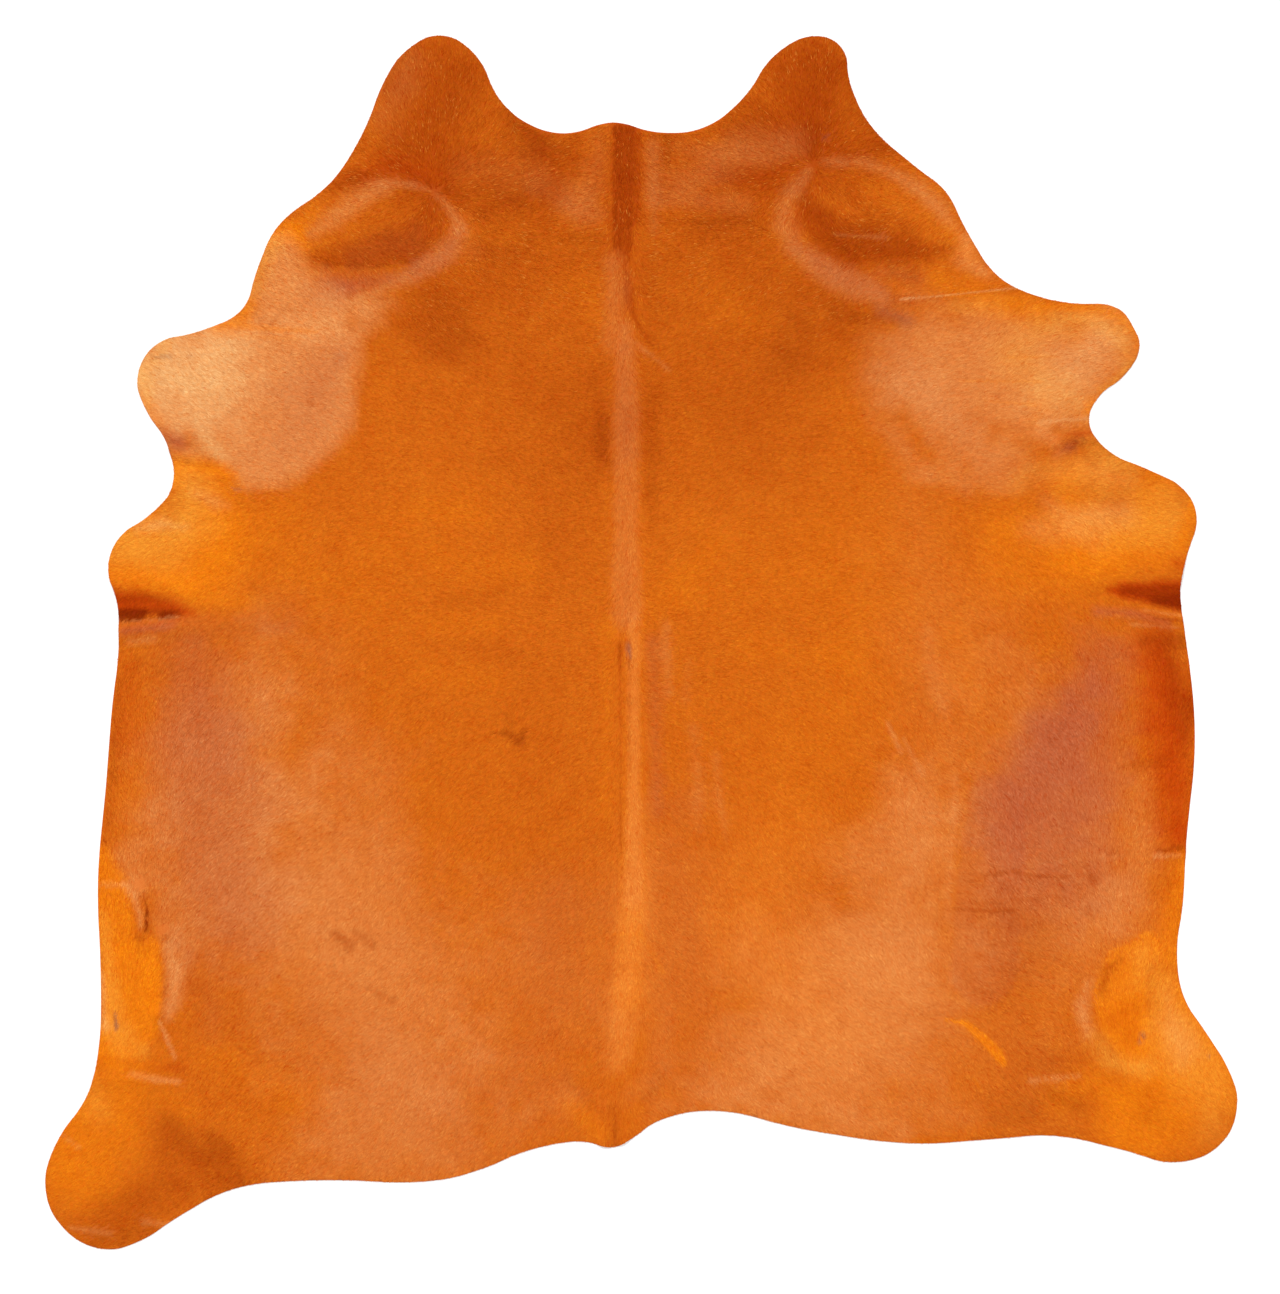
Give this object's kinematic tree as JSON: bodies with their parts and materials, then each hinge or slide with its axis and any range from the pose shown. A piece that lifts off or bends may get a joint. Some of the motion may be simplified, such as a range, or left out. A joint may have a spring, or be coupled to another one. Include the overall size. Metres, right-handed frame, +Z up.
{
  "type": "hair-on leather hide",
  "caption": "Whole cow hide with its hair on, dyed cognac orange and laid flat, with cheeks, forelegs, waist, hind legs and tail in its outline.",
  "frame": {"origin": "on the floor, in the middle of the hide's box", "axes": "+Z up, out of the hair side; +Y along the back line, from the tail to the neck; +X across the hide, to the right with the neck away"},
  "size_m": [2.085, 2.123, 0.0097],
  "materials": {
    "dyed_hair": "short cow hair lying flat on leather, dyed cognac orange, paler where the hair turns at the shoulders, flanks and back line"
  },
  "bodies": {
    "root": {"hide": "dyed_hair"}
  },
  "joints": []
}
